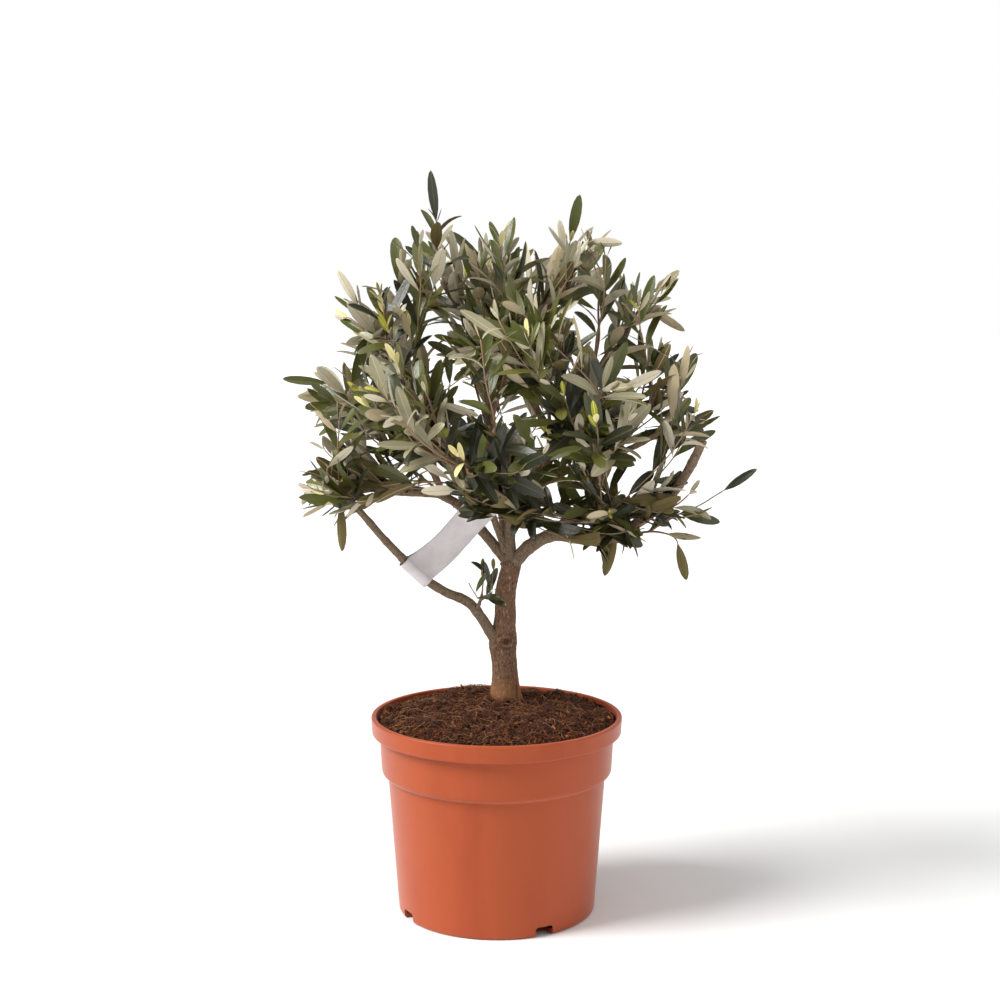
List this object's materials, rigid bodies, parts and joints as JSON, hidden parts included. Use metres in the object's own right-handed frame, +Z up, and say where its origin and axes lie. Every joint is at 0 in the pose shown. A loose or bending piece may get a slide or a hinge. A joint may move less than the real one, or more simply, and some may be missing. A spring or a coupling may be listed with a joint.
{
  "type": "potted olive tree",
  "caption": "Small standard olive tree with a short bare trunk and an airy rounded crown, growing in a round terracotta-coloured plastic nursery pot, with a blank paper label.",
  "frame": {"origin": "middle of the pot's flat underside, where it stands", "axes": "+Z up along the pot's axis and the height of the plant, -Y towards the front of the tree, +X to the right seen from the front"},
  "size_m": [0.413, 0.338, 0.645],
  "materials": {
    "pot_plastic": "satin",
    "compost": "matte",
    "bark": "matte",
    "foliage": "satin",
    "label_paper": "matte"
  },
  "bodies": {
    "root": {"pot": "pot_plastic", "soil": "compost", "trunk": "bark", "label": "label_paper", "leader": "bark", "right_bough_inner": "bark", "right_bough_outer": "bark", "left_bough_inner": "bark", "left_bough_outer": "bark", "lower_left_bough": "bark", "back_bough": "bark", "left_stem": "bark", "upper_right_limb": "bark", "upper_middle_limb": "bark", "top_limb": "bark", "right_inner_limb": "bark", "right_rising_limb": "bark", "left_rising_limb": "bark", "left_side_limb": "bark", "front_bough": "bark", "front_left_limb": "bark", "front_right_limb": "bark", "back_left_limb": "bark", "back_right_limb": "bark", "back_upper_limb": "bark", "side_shoot": "bark", "foliage_top_left": "foliage", "foliage_top_middle": "foliage", "foliage_top_right": "foliage", "foliage_top_right_outer": "foliage", "foliage_left_shoulder": "foliage", "foliage_right_shoulder": "foliage", "foliage_left_mid": "foliage", "foliage_right_mid": "foliage", "foliage_left_low": "foliage", "foliage_left_low_front": "foliage", "foliage_right_low": "foliage", "foliage_right_underside": "foliage", "foliage_heart_right": "foliage", "foliage_heart_left": "foliage", "foliage_heart_low": "foliage", "foliage_heart_upper": "foliage", "foliage_front_low": "foliage", "foliage_front_left": "foliage", "foliage_front_right": "foliage", "foliage_front_top": "foliage", "foliage_back_low": "foliage", "foliage_back_left": "foliage", "foliage_back_right": "foliage", "foliage_back_middle": "foliage", "foliage_back_top": "foliage", "foliage_low_tuft": "foliage"}
  },
  "joints": []
}
